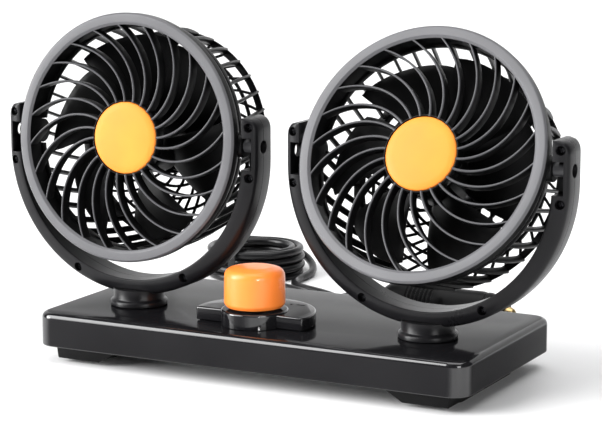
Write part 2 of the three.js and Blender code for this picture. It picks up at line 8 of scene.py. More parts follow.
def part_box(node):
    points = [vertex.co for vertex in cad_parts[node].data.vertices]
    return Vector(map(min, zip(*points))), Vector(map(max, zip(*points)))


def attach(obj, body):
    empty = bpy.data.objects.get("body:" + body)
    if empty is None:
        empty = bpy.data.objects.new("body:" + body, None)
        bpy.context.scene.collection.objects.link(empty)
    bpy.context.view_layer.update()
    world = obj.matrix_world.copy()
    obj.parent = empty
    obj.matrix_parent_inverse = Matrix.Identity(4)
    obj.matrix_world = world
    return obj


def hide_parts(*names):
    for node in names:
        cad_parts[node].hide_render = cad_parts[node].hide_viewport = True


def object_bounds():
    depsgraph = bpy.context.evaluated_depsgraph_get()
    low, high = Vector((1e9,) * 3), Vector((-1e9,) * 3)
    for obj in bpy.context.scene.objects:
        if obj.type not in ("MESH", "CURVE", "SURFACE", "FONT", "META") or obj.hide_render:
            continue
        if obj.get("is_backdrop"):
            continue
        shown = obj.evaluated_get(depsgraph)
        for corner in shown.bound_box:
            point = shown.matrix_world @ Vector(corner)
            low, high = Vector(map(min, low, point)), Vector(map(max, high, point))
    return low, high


# Twin-head 12 V vehicle fan: two guarded heads in swivelling yokes on a flat base.
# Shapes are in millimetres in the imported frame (+X right, +Y back, +Z up), and mesh_piece() scales them.

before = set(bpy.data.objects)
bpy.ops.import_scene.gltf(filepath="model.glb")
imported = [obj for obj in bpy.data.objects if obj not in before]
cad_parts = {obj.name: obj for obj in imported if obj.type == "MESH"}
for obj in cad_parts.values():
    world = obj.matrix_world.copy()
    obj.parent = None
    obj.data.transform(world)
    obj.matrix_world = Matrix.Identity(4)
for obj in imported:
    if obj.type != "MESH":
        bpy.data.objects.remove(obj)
CAD_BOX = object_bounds()
MM = 0.001
SIDES = ("left", "right")


def box_mm(node):
    low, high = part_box(node)
    return Vector(low) / MM, Vector(high) / MM


def middle_mm(node):
    return sum(box_mm(node), Vector()) / 2


# Base, knob, cord and plug
BASE_LOW, BASE_HIGH = box_mm("base_cover")
BASE_TOP = BASE_HIGH.z
KNOB_AT = middle_mm("switch_shaft")
EXIT = Vector((middle_mm("strain_relief").x, 47.0, middle_mm("strain_relief").z))
CORD_R = 2.1
COIL = middle_mm("cord_coil")
COIL_TURNS = 8.75
PLUG = Vector((32.0, middle_mm("plug_tip").y, middle_mm("plug_tip").z))

# Heads: radii, and depths forward of the tilt axis
RING_R = 58.0
RING_INNER_R = 52.4
RING_FRONT = 12.0
COLLAR_R = 56.0
COLLAR_BACK = 2.0
BOSS_R = 5.6
HUB_R = 17.6
CAP_R = 16.7
SPOKES = 24
SPOKE_FROM_R = 16.9
SPOKE_TO_R = 52.9
SPOKE_SWEEP = math.radians(33)
SPOKE_BEND = 1.3
SPOKE_PHASE = {"left": math.radians(3.6), "right": math.radians(11.25)}
SPOKE_FRONT = 11.2
SPOKE_BACK = 5.0
SPOKE_WIDTH = 1.25
BLADES = 6
BLADE_ROOT_R = 16.2
BLADE_R = 48.5
# Radius, width in radians, and depth from one edge of the blade to the other
BLADE_TABLE = ((BLADE_ROOT_R, 0.96, 20.0), (28.0, 0.97, 20.0), (41.0, 0.96, 18.0), (BLADE_R, 0.9, 15.5))
BLADE_THICK = 1.6
ROTOR_HUB_R = 17.0
ROTOR_TURN = {"left": math.radians(35), "right": math.radians(48)}
CAGE_BARS = 36
CAGE_RIM_R = 53.8
CAGE_BACK_R = 49.6
CAGE_BACK = -36.5
BAR_LEAN = 0.14
BACK_BAR_R = 47.6
BACK_RINGS = (24.4, 30.4, 36.2, 41.9)
HEAD_TILT = {"left": math.radians(6), "right": math.radians(23)}

# Yokes and their necks
PIVOT_Z = 103.5
SWIVEL_Y = -14.0
YOKE_INNER_R = 60.0
YOKE_OUTER_R = 67.3
YOKE_DROP = 6.5
YOKE_TOP = 13.5
YOKE_HALF = 8.5
NECK_R = 12.0

# Camera
TARGET = Vector((11.5, -14.0, 73.2)) * MM
AZIMUTH = math.radians(27.34)
ELEVATION = math.radians(10.27)
DISTANCE = 1.003
LENS = 132.3


# ---- Camera and light ----------------------------------------------------------------------------


def new_object(name, data):
    obj = bpy.data.objects.new(name, data)
    bpy.context.collection.objects.link(obj)
    return obj


def aim(obj, target):
    obj.rotation_euler = (Vector(target) - obj.location).to_track_quat("-Z", "Y").to_euler()


def make_camera():
    data = bpy.data.cameras.new("camera")
    data.lens = LENS
    data.sensor_width = 36.0
    data.clip_start, data.clip_end = 0.01, 50.0
    camera = new_object("camera", data)
    level = math.cos(ELEVATION)
    away = Vector((math.sin(AZIMUTH) * level, -math.cos(AZIMUTH) * level, math.sin(ELEVATION)))
    camera.location = TARGET + away * DISTANCE
    aim(camera, TARGET)
    bpy.context.scene.camera = camera


def add_light(name, kind, place, target, power, **settings):
    data = bpy.data.lights.new(name, kind)
    data.energy = power
    for key, value in settings.items():
        setattr(data, key, value)
    light = new_object(name, data)
    light.location = place
    aim(light, target)


def make_lights():
    add_light("key", "SUN", (-0.66, -0.6, 0.5), (0, 0, 0), 4.5, angle=math.radians(50))
    panels = (
        ("overhead", (0.25, 0.1, 1.7), (0.1, 0.05, 0), (1.8, 1.8), 26.0),
        ("left_strip", (-0.9, -0.62, 0.24), (0, 0, 0.08), (0.35, 0.45), 7.0),
        ("right_fill", (1.3, -0.9, 0.45), (0, 0, 0.06), (0.5, 0.6), 6.0),
        ("behind_base", (-0.5, 1.5, 0.42), (0, 0, 0.03), (0.8, 0.3), 0.35),
    )
    for name, place, target, (wide, tall), power in panels:
        add_light(name, "AREA", place, target, power, shape="RECTANGLE", size=wide, size_y=tall)
    knob = KNOB_AT * MM + Vector((0, 0, 0.012))
    add_light("knob_spot", "SPOT", (0.52, -0.62, 0.2), knob, 15.0,
              spot_size=math.radians(4.5), spot_blend=0.7, shadow_soft_size=0.03)
    world = bpy.data.worlds.new("studio")
    world.use_nodes = True
    bpy.context.scene.world = world
    tree = world.node_tree
    background = tree.nodes["Background"]
    background.inputs["Strength"].default_value = 1.0
    # White where the camera sees it, dim where it lights and reflects.
    rays = tree.nodes.new("ShaderNodeLightPath")
    mix = tree.nodes.new("ShaderNodeMix")
    mix.data_type = "RGBA"
    tree.links.new(rays.outputs["Is Camera Ray"], mix.inputs["Factor"])
    mix.inputs["A"].default_value = (0.07, 0.071, 0.074, 1)
    mix.inputs["B"].default_value = (1, 1, 1, 1)
    tree.links.new(mix.outputs["Result"], background.inputs["Color"])
    bpy.context.scene.view_settings.view_transform = "Standard"


# ---- Materials -----------------------------------------------------------------------------------


class Nodes:
    """A short way to write a material's node tree."""

    def __init__(self, name):
        self.material = bpy.data.materials.new(name)
        self.material.use_nodes = True
        self.tree = self.material.node_tree
        self.shader = self.tree.nodes["Principled BSDF"]
        self.place = self.add("ShaderNodeTexCoord").outputs["Object"]

    def add(self, kind, inputs=None, **settings):
        node = self.tree.nodes.new(kind)
        for key, value in settings.items():
            setattr(node, key, value)
        for key, value in (inputs or {}).items():
            self.put(node.inputs[key], value)
        return node

    def put(self, socket, value):
        if isinstance(value, bpy.types.NodeSocket):
            self.tree.links.new(value, socket)
        else:
            socket.default_value = value

    def surface(self, inputs):
        """Sets inputs of the shader and gives the material."""
        for key, value in inputs.items():
            self.put(self.shader.inputs[key], value)
        return self.material

    def noise(self, per_mm, detail=2.0, rough=0.5):
        inputs = {"Vector": self.place, "Scale": per_mm / MM, "Detail": detail, "Roughness": rough}
        return self.add("ShaderNodeTexNoise", inputs).outputs["Fac"]

    def scaled(self, value, low, high, start=0.0, stop=1.0):
        inputs = {"Value": value, "From Min": start, "From Max": stop, "To Min": low, "To Max": high}
        return self.add("ShaderNodeMapRange", inputs).outputs["Result"]

    def blend(self, factor, a, b):
        node = self.add("ShaderNodeMix", data_type="RGBA")
        self.put(node.inputs["Factor"], factor)
        self.put(node.inputs["A"], a)
        self.put(node.inputs["B"], b)
        return node.outputs["Result"]

    def bump(self, height, distance_mm, strength=1.0, under=None):
        inputs = {"Height": height, "Distance": distance_mm * MM, "Strength": strength}
        if under is not None:
            inputs["Normal"] = under
        return self.add("ShaderNodeBump", inputs).outputs["Normal"]

    def math(self, operation, a, b):
        return self.add("ShaderNodeMath", {0: a, 1: b}, operation=operation).outputs["Value"]

    def split(self, vector):
        return self.add("ShaderNodeSeparateXYZ", {"Vector": vector}).outputs

    def worn(self, low, high):
        """High along convex edges, where handling rubs the surface."""
        return self.scaled(self.add("ShaderNodeNewGeometry").outputs["Pointiness"], 0.0, 1.0, low, high)

    def facing(self):
        """How far the surface faces along each axis, either way."""
        normal = self.add("ShaderNodeNewGeometry").outputs["Normal"]
        return self.add("ShaderNodeVectorMath", {0: normal}, operation="ABSOLUTE").outputs["Vector"]

    def by_axis(self, levels):
        """A level for each pair of faces square to an axis, blended between them."""
        node = self.add("ShaderNodeVectorMath", {0: self.facing(), 1: levels}, operation="DOT_PRODUCT")
        return node.outputs["Value"]

    def squareness(self):
        """1 on faces square to the axes, less on the rounded edges between them."""
        x, y, z = self.split(self.facing())
        return self.math("MAXIMUM", self.math("MAXIMUM", x, y), z)

    def facing_up(self):
        normal = self.add("ShaderNodeNewGeometry").outputs["Normal"]
        return self.scaled(self.split(normal)["Z"], 0.0, 1.0, 0.3, 1.0)

    def mottled(self, colour, gain, lift, per_mm, detail):
        """A colour with slow patches of a slightly lighter one."""
        lighter = [min(1.0, c * gain + lift) for c in colour]
        patch = self.scaled(self.noise(per_mm, detail), 0.0, 1.0, 0.35, 0.7)
        return self.blend(patch, rgba(colour), rgba(lighter))

    def dusted(self, base, most, per_mm, rough, start, tint):
        """Specks of dust where the surface looks up."""
        speck = self.scaled(self.noise(per_mm, 6.0, rough), 0.0, most, start, start + 0.25)
        return self.blend(self.math("MULTIPLY", self.facing_up(), speck), base, rgba(tint))


def rgba(colour):
    return (*colour, 1.0)


def plastic(name, colour, rough, grain_mm=0.35, grain_depth=0.012, dust=0.0, wear=0.0, specular=0.5):
    """Moulded plastic: fine grain, slow roughness change, light edge wear and a little dust on top."""
    n = Nodes(name)
    base = n.mottled(colour, 1.25, 0.004, 0.03, 3.0)
    if wear:
        rubbed = [min(1.0, c * 1.6 + 0.03) for c in colour]
        base = n.blend(n.scaled(n.worn(0.52, 0.62), 0.0, wear), base, rgba(rubbed))
    if dust:
        base = n.dusted(base, dust, 0.9, 0.7, 0.5, (0.42, 0.4, 0.37))
    return n.surface({
        "Base Color": base,
        "Roughness": n.scaled(n.noise(0.06, 4.0, 0.6), rough * 0.88, rough * 1.12, 0.3, 0.7),
        "Specular IOR Level": specular,
        "Normal": n.bump(n.noise(1.0 / grain_mm, 2.0, 0.6), grain_depth),
    })


def gloss_plastic(name, colour, rough, coat, specular, painted_edge_specular=None, dust=0.0):
    """Polished moulding: faint flow waves, hairline scratches and a clear coat.

    With an edge level, specular is a level for each axis that a face looks along, as painted shade that keeps
    some sides darker than others, and the rounded edges between the faces have the edge level, as a painted
    highlight.
    """
    n = Nodes(name)
    base = n.mottled(colour, 1.2, 0.003, 0.02, 2.0)
    if dust:
        base = n.dusted(base, dust, 1.1, 0.75, 0.55, (0.4, 0.39, 0.37))
    if painted_edge_specular is not None:
        # Painted highlight on the rounded edges, and painted shade by the way each face looks.
        flat = n.scaled(n.squareness(), 0.0, 1.0, 0.93, 0.995)
        levels = {0: flat, 2: painted_edge_specular, 3: n.by_axis(specular)}
        specular = n.add("ShaderNodeMix", levels, data_type="FLOAT").outputs[0]
    stretch = n.add("ShaderNodeMapping", {"Vector": n.place, "Scale": (0.6 / MM, 9 / MM, 9 / MM)})
    line = {"Vector": stretch.outputs["Vector"], "Scale": 1.0, "Detail": 3.0}
    scratch = n.add("ShaderNodeTexNoise", line).outputs["Fac"]
    return n.surface({
        "Base Color": base,
        "Roughness": n.scaled(n.noise(0.08, 5.0, 0.6), rough * 0.75, rough * 1.35, 0.3, 0.7),
        "Specular IOR Level": specular,
        "Coat Weight": coat,
        "Coat Roughness": 0.12,
        "Normal": n.bump(scratch, 0.004, 0.5, under=n.bump(n.noise(0.045, 1.0), 0.12, 0.25)),
    })


def metal(name, colour, rough):
    n = Nodes(name)
    lines = n.noise(4.0, 4.0)
    stain = n.scaled(n.noise(0.3, 4.0, 0.6), 0.0, 1.0, 0.35, 0.75)
    return n.surface({
        "Base Color": n.blend(stain, rgba(colour), rgba([c * 0.72 for c in colour])),
        "Metallic": 1.0,
        "Roughness": n.scaled(lines, rough * 0.8, rough * 1.3, 0.3, 0.7),
        "Normal": n.bump(lines, 0.01, 0.6),
    })


def make_materials():
    make = {plastic: {
        "yoke_black": ((0.006, 0.0058, 0.0068), 0.3, dict(wear=0.15, dust=0.008, specular=0.2)),
        "cage_black": ((0.0025, 0.0025, 0.0028), 0.34, dict(wear=0.1, specular=0.12)),
        # A painted sheen: the ring's front band and the pin ends take this grey where the black plastic
        # catches the light.
        "grille_grey": ((0.09, 0.0895, 0.0955), 0.4, dict(grain_mm=0.3, wear=0.1, specular=0.4)),
        # A painted sheen: the spokes' rounded front edges take this grey where the black plastic catches the
        # light.
        "spoke_edge": ((0.042, 0.042, 0.046), 0.4, dict(grain_mm=0.3, specular=0.35)),
        "cap_yellow": ((0.88, 0.245, 0.027), 0.5, dict(grain_mm=0.4, specular=0.25)),
        "dark_plastic": ((0.002, 0.002, 0.0022), 0.36, dict(grain_mm=0.5, specular=0.12)),
        "pad_rubber": ((0.01, 0.01, 0.01), 0.8, dict(grain_mm=0.5, grain_depth=0.05, specular=0.3)),
        "cord_skin": ((0.005, 0.005, 0.0055), 0.3, dict(grain_mm=0.6, grain_depth=0.008, specular=0.3)),
        "circuit_green": ((0.02, 0.13, 0.05), 0.4, {}),
        "resistor_ceramic": ((0.68, 0.66, 0.6), 0.8, {}),
    }, gloss_plastic: {
        # Base: specular set by the way each face looks, lower on the ends and top than on the front and back,
        # is painted shade; the high edge level is a painted highlight on the rounded edges.
        "base_gloss": ((0.0062, 0.006, 0.007), 0.09,
                       dict(coat=0.0, specular=(0.03, 0.13, 0.012), painted_edge_specular=0.8, dust=0.006)),
        "knob_orange": ((0.95, 0.222, 0.033), 0.32, dict(coat=0.1, specular=0.35)),
    }, metal: {
        "steel": ((0.52, 0.52, 0.54), 0.33, {}),
        "black_steel": ((0.035, 0.035, 0.038), 0.45, {}),
        "contact_brass": ((0.68, 0.5, 0.23), 0.28, {}),
    }}
    return {name: kind(name, colour, rough, **more)
            for kind, rows in make.items() for name, (colour, rough, more) in rows.items()}


# ---- Mesh helpers --------------------------------------------------------------------------------


def mesh_piece(name, points, faces, slots, at=None, face_slots=None, sharp=35):
    """Makes one object from points in millimetres. slots are material names, and at places a local shape."""
    mesh = bpy.data.meshes.new(name)
    mesh.from_pydata([(at @ Vector(p) if at else Vector(p)) * MM for p in points], [], faces)
    for slot in slots:
        mesh.materials.append(MATERIALS[slot])
    if face_slots:
        mesh.polygons.foreach_set("material_index", face_slots)
    obj = new_object(name, mesh)
    clean(obj, sharp)
    return obj


def smooth_faces(mesh, sharp=35):
    mesh.polygons.foreach_set("use_smooth", [True] * len(mesh.polygons))
    mesh.set_sharp_from_angle(angle=math.radians(sharp))


def clean(obj, sharp=35):
    b = bmesh.new()
    b.from_mesh(obj.data)
    bmesh.ops.remove_doubles(b, verts=b.verts, dist=2e-7)
    bmesh.ops.dissolve_degenerate(b, edges=b.edges, dist=1e-7)
    bmesh.ops.recalc_face_normals(b, faces=b.faces)
    b.to_mesh(obj.data)
    b.free()
    smooth_faces(obj.data, sharp)


def settle(obj, sharp=35):
    """Puts the result of an object's modifiers into its mesh."""
    graph = bpy.context.evaluated_depsgraph_get()
    result = bpy.data.meshes.new_from_object(obj.evaluated_get(graph))
    obj.modifiers.clear()
    obj.data = result
    clean(obj, sharp)
    return obj


def combine(obj, others, operation, sharp=35):
    for i, other in enumerate(others):
        modifier = obj.modifiers.new(f"step{i}", "BOOLEAN")
        modifier.operation, modifier.solver, modifier.object = operation, "EXACT", other
    settle(obj, sharp)
    for other in others:
        bpy.data.objects.remove(other)
    return obj


def cut(obj, cutters, sharp=35):
    return combine(obj, cutters, "DIFFERENCE", sharp)


def bevel(obj, width_mm, segments=3):
    modifier = obj.modifiers.new("bevel", "BEVEL")
    modifier.width = width_mm * MM
    modifier.segments = segments
    modifier.limit_method = "ANGLE"
    modifier.angle_limit = math.radians(40)
    return settle(obj)


def join(name, objects, sharp=35):
    first = objects[0]
    b = bmesh.new()
    materials = []
    for obj in objects:
        start = len(b.faces)
        b.from_mesh(obj.data)
        b.faces.ensure_lookup_table()
        for face in b.faces[start:]:
            material = obj.data.materials[face.material_index]
            if material not in materials:
                materials.append(material)
            face.material_index = materials.index(material)
    mesh = bpy.data.meshes.new(name)
    b.to_mesh(mesh)
    b.free()
    for material in materials:
        mesh.materials.append(material)
    for obj in objects[1:]:
        bpy.data.objects.remove(obj)
    first.data = mesh
    first.name = name
    clean(first, sharp)
    return first


def rounded(profile, steps=5):
    """A polyline of (x, y) or (x, y, radius) with each stated corner rounded."""
    out = []
    count = len(profile)
    for i, p in enumerate(profile):
        here = Vector(p[:2])
        radius = p[2] if len(p) > 2 else 0
        if not radius:
            out.append(tuple(here))
            continue
        before = Vector(profile[i - 1][:2]) - here
        after = Vector(profile[(i + 1) % count][:2]) - here
        turn = before.angle(after)
        reach = min(radius / math.tan(turn / 2), before.length * 0.49, after.length * 0.49)
        start, end = here + before.normalized() * reach, here + after.normalized() * reach
        for k in range(steps + 1):
            t = k / steps
            out.append(tuple(start * (1 - t) ** 2 + here * 2 * t * (1 - t) + end * t * t))
    return out


def turn_up(radius, angle, height):
    return (radius * math.cos(angle), radius * math.sin(angle), height)


def turn_front(radius, angle, forward):
    return (radius * math.cos(angle), -forward, radius * math.sin(angle))


def turn_side(radius, angle, along):
    return (along, radius * math.cos(angle), radius * math.sin(angle))


def turned(name, profile, slots, segments=96, spot=turn_up, closed=False, at=None, pick=None, sharp=35):
    """A profile of (radius, height) turned about an axis. pick gives each span its material's number."""
    points, faces = [], []
    rows = len(profile)
    for i in range(segments):
        angle = 2 * math.pi * i / segments
        points += [spot(r, angle, h) for r, h in profile]
    spans = rows if closed else rows - 1
    for i in range(segments):
        j = (i + 1) % segments
        for k in range(spans):
            m = (k + 1) % rows
            faces.append((i * rows + k, i * rows + m, j * rows + m, j * rows + k))
    face_slots = [pick(k) for _ in range(segments) for k in range(spans)] if pick else None
    return mesh_piece(name, points, faces, slots, at, face_slots, sharp)


def stacked(name, rings, slots, at=None):
    """Closed skin through rings of equal count, capped at both ends."""
    count = len(rings[0])
    points = [p for ring in rings for p in ring]
    faces = [tuple(range(count)), tuple(range(len(points) - 1, len(points) - 1 - count, -1))]
    for k in range(len(rings) - 1):
        a, b = k * count, (k + 1) * count
        faces += [(a + i, b + i, b + (i + 1) % count, a + (i + 1) % count) for i in range(count)]
    return mesh_piece(name, points, faces, slots, at)


def prism(name, outline, low, high, slots, spot=lambda x, y, d: (x, y, d), at=None):
    """A closed outline given thickness. spot maps (x, y, depth) to a point."""
    return stacked(name, [[spot(x, y, d) for x, y in outline] for d in (low, high)], slots, at)


def tube_faces(rows, n):
    """Faces of a section of n points carried along rows of them, with both ends capped."""
    faces = [(i * n + k, i * n + (k + 1) % n, (i + 1) * n + (k + 1) % n, (i + 1) * n + k)
             for i in range(rows - 1) for k in range(n)]
    return faces + [tuple(range(n)), tuple(range(rows * n - 1, (rows - 1) * n - 1, -1))]


def gather(parts):
    """Points and faces of several parts as one."""
    points, faces = [], []
    for p, f in parts:
        base = len(points)
        points += p
        faces += [tuple(v + base for v in face) for face in f]
    return points, faces


def to_front(x, z, y):
    return (x, y, z)


def rounded_rect(width, depth, radius, steps=10, centre=(0, 0)):
    outline = []
    for quarter, (sx, sy) in enumerate(((1, 1), (-1, 1), (-1, -1), (1, -1))):
        cx, cy = sx * (width / 2 - radius), sy * (depth / 2 - radius)
        for k in range(steps + 1):
            a = math.pi / 2 * (quarter + k / steps)
            outline.append((centre[0] + cx + radius * math.cos(a), centre[1] + cy + radius * math.sin(a)))
    return outline


def disc_line(radius, low, high):
    return [(0, low), (radius, low), (radius, high), (0, high)]


def cutter(profile, spot, at, segments=32):
    return turned("cutter", profile, ["steel"], segments, spot, at=at)


def bore(radius, low, high, spot, at, segments=32):
    return cutter(disc_line(radius, low, high), spot, at, segments)


def stand(x, y, z=0.0):
    return Matrix.Translation((x, y, z))


def finish_piece(obj, body, slot, *nodes):
    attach(obj, body)
    if nodes:
        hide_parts(*nodes)
    return obj


# ---- Base ----------------------------------------------------------------------------------------


def rect_ring(width, depth, radius, height, steps=10):
    return [(x, y, height) for x, y in rounded_rect(width, depth, radius, steps)]


def inset_ring(width, depth, radius, inset, height):
    return rect_ring(width - 2 * inset, depth - 2 * inset, radius - inset, height)


def make_base_cover():
    size = BASE_HIGH - BASE_LOW
    wall, edge, corner, steps = 2.5, 2.8, 9.0, 6
    outside = (size.x, size.y, corner)
    bottom = BASE_LOW.z
    # Up the inside, round the open lower edge, up the outside, and over the rounded top edge
    rings = [inset_ring(*outside, wall, BASE_TOP - wall), inset_ring(*outside, wall, bottom)]
    rings += [inset_ring(*outside, inset, bottom + rise) for inset, rise in ((0.4, 0), (0.1, 0.3), (0, 0.9))]
    for k in range(steps + 1):
        a = math.pi / 2 * k / steps
        rings.append(inset_ring(*outside, edge * (1 - math.cos(a)), BASE_TOP - edge * (1 - math.sin(a))))
    cover = stacked("case_cover", rings, ["base_gloss"])
    tools = [bore(6.3, 15, 40, turn_up, stand(pivot(side).x, SWIVEL_Y)) for side in SIDES]
    tools.append(bore(4.3, 15, 40, turn_up, stand(KNOB_AT.x, KNOB_AT.y)))
    tools.append(bore(4.3, -60, -40, turn_front, stand(EXIT.x, 0, EXIT.z)))
    finish_piece(cut(cover, tools), "base", "base_gloss", "base_cover")


def make_feet():
    slope, screw_x, screw_y, peg_x, peg_y = 10, 92, 40, 89, 22
    for side, x_sign in (("left", -1), ("right", 1)):
        low, high = box_mm(f"foot_{side}")
        inner, outer = sorted((low.x, high.x), key=abs)
        top = BASE_LOW.z - 0.3
        outline = [(outer - x_sign * 0.8, low.z), (outer, top), (inner, top), (inner + x_sign * slope, low.z)]
        block = prism(f"foot_block_{side}", outline, low.y, high.y, ["dark_plastic"], to_front)
        cut(block, [bore(3.6, -1, 20, turn_up, stand(x_sign * screw_x, y)) for y in (-screw_y, screw_y)])
        bevel(block, 0.6)
        peg_line = [(0, 5), (2.2, 5), (2.2, 11.6), (1.8, 12), (0, 12)]
        pegs = [turned("peg", peg_line, ["dark_plastic"], 24, at=stand(x_sign * peg_x, y))
                for y in (-peg_y, peg_y)]
        finish_piece(join(f"foot_block_{side}", [block, *pegs]), "base", "dark_plastic", f"foot_{side}")
        low, high = box_mm(f"foot_pad_{side}")
        centre = (high + low) / 2
        outside = (high.x - low.x, high.y - low.y, 4)
        rows = ((0.5, 0), (0.15, 0.15), (0, 0.5), (0, 1.3), (0.2, 1.5))
        rings = [inset_ring(*outside, inset, height) for inset, height in rows]
        pad = stacked(f"sole_{side}", rings, ["pad_rubber"], stand(centre.x, centre.y))
        finish_piece(pad, "base", "pad_rubber", f"foot_pad_{side}")


def make_base_screws():
    for i in range(1, 5):
        centre = middle_mm(f"base_screw_{i}")
        # The head looks down, so the screw is built upright and turned over.
        at = stand(centre.x, centre.y, BASE_LOW.z + 0.7) @ Matrix.Rotation(math.pi, 4, "X")
        finish_piece(screw(f"case_screw_{i}", 2.9, 1.0, 1.3, 9.0, at), "base", "steel", f"base_screw_{i}")


def screw(name, head_r, head_h, shank_r, length, at, finish="steel"):
    """A cross-head screw on Z: its head rests on height 0 and its threaded shank goes down."""
    profile = [(0, -length), (shank_r * 0.5, -length), (shank_r, -length + 1)]
    pitch = 0.8
    for k in range(int((length - 1.6) / pitch)):
        z = -length + 1.2 + k * pitch
        profile += [(shank_r * 0.82, z), (shank_r, z + pitch * 0.5)]
    profile += [(shank_r, -0.3), (shank_r, 0), (head_r * 0.96, 0), (head_r, head_h * 0.25),
                (head_r * 0.93, head_h * 0.7), (head_r * 0.6, head_h), (0, head_h)]
    body = turned(name, profile, [finish], 24, at=at, sharp=50)
    arm, half, depth, skew = head_r * 0.62, head_r * 0.16, head_h * 0.75, 0.4
    slot = [(-arm, -half), (arm, -half), (arm, half), (-arm, half)]
    tools = [prism("cutter", slot, head_h - depth, head_h + 1, ["steel"],
                   at=at @ Matrix.Rotation(turn + skew, 4, "Z")) for turn in (0, math.pi / 2)]
    return cut(body, tools, 50)


# ---- Speed control -------------------------------------------------------------------------------


def make_plinth():
    """A round plate with a straight front, and the drum that stands out of it under the knob."""
    at = stand(KNOB_AT.x, KNOB_AT.y)
    low, high = box_mm("control_plinth")
    radius, flat, foot, top = (high.x - low.x) / 2, -6.0, low.z, high.z - 0.7
    drum_r, steps = 15.5, 72
    start = math.asin(flat / radius)
    span = math.pi - 2 * start
    angles = [start + span * k / steps for k in range(steps + 1)]
    outline = [(radius * math.cos(a), radius * math.sin(a)) for a in angles]
    plate = bevel(prism("control_plate", outline, foot, top, ["base_gloss"], at=at), 0.8)
    drum_line = rounded([(0, foot), (drum_r, foot), (drum_r, high.z, 0.9), (0, high.z)], 4)
    combine(plate, [turned("drum", drum_line, ["base_gloss"], at=at)], "UNION")
    # The room for the switch, and a dash and a dot beside the knob
    nut_r, nut_top, shaft_r, mark = 9, foot + 4.4, 4.3, top - 0.4
    room = [(0, 20), (nut_r, 20), (nut_r, nut_top), (shaft_r, nut_top), (shaft_r, 40), (0, 40)]
    tools = [cutter(room, turn_up, at)]
    dash = rounded_rect(4.4, 1.2, 0.4, 4, (14.2, 18))
    tools.append(prism("cutter", dash, mark, top + 9, ["base_gloss"], at=at))
    tools.append(bore(0.7, mark, top + 9, turn_up, at @ stand(9.6, 17.6)))
    finish_piece(cut(plate, tools), "base", "base_gloss", "control_plinth")


def make_knob():
    low, high = box_mm("knob")
    r, bottom, top = (high.x - low.x) / 2, low.z, high.z
    shaft_r, shaft_top = 3.3, bottom + 14
    outline = [(0, shaft_top), (shaft_r, shaft_top), (shaft_r, bottom + 0.4), (r - 2.4, bottom + 0.4),
               (r - 2.0, bottom), (r - 1.1, bottom, 0.6), (r, bottom + 1.6, 2), (r - 0.15, top - 1.4, 4.2),
               (r - 6.5, top, 5), (0, top)]
    at = stand(KNOB_AT.x, KNOB_AT.y)
    body = turned("speed_knob", rounded(outline, 8), ["knob_orange"], 128, at=at, sharp=60)
    finish_piece(body, "selector", "knob_orange", "knob")


# ---- Heads ---------------------------------------------------------------------------------------


def head_frame(side):
    """Where a head's own frame sits: +Z of a ring is up the head, and forward is -Y before the tilt."""
    return Matrix.Translation(pivot(side)) @ Matrix.Rotation(-HEAD_TILT[side], 4, "X")


def pivot(side):
    return Vector((middle_mm(f"yoke_front_{side}").x, SWIVEL_Y, PIVOT_Z))


def spoke_angle(radius, start):
    t = max(0.0, (radius - HUB_R) / (RING_INNER_R - HUB_R))
    return start + SPOKE_SWEEP * t ** SPOKE_BEND


SPOKE_STATIONS = 22
# The vane's section: across in widths, and back from its front edge, except at its two rear corners
SPOKE_SECTION = ((-0.42, None), (-0.5, 0.45), (-0.3, 0.08), (0, 0), (0.3, 0.08), (0.5, 0.45), (0.42, None))
# 1 marks the faces round the vane's front edge that take the grey painted sheen; the rest stay black.
SPOKE_PAINTED_SHEEN = (0, 1, 1, 1, 1, 0, 0)


def spoke_mesh(start):
    """One curved vane: rounded front edge, thin and deep, a little wider at the ring."""
    points = []
    for i in range(SPOKE_STATIONS + 1):
        t = i / SPOKE_STATIONS
        r = SPOKE_FROM_R + (SPOKE_TO_R - SPOKE_FROM_R) * t
        a = spoke_angle(r, start)
        width = SPOKE_WIDTH * (0.95 + 0.12 * t)
        front = SPOKE_FRONT - 0.45 * math.sin(math.pi * t)
        for across, back in SPOKE_SECTION:
            forward = SPOKE_BACK if back is None else front - back
            points.append(turn_front(r, a + across * width / r, forward))
    return points, tube_faces(SPOKE_STATIONS + 1, len(SPOKE_SECTION))


